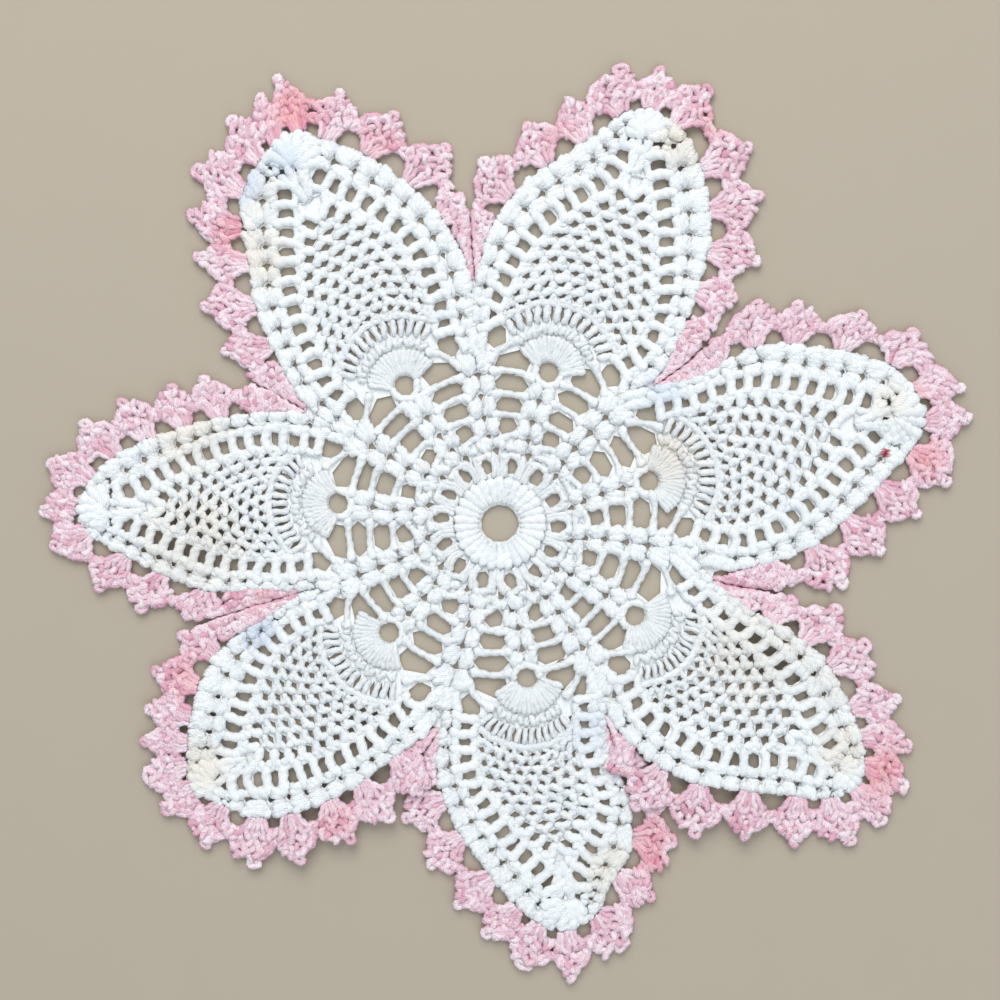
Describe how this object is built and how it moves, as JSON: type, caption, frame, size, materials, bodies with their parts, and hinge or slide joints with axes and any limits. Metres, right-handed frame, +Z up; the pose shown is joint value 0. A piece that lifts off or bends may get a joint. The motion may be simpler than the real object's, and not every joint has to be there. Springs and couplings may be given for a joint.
{
  "type": "lace doily",
  "caption": "Flat crocheted lace doily in thick white cotton with long pineapple petals, ladder gaps round the centre and a scalloped pink edging of fans with picots.",
  "frame": {"origin": "on the surface that the doily lies on, under the middle of its outline", "axes": "+Z up out of the cloth, +Y towards the valley between the two top petals, +X to the right seen from above"},
  "size_m": [0.3364, 0.3287, 0.0056],
  "materials": {
    "white_cotton": "matt crochet cotton, cool white with creamy patches",
    "pink_cotton": "matt crochet cotton, shaded from pale orchid to salmon pink"
  },
  "bodies": {
    "root": {"crocheted_body": "white_cotton", "crocheted_edging": "pink_cotton"}
  },
  "joints": []
}
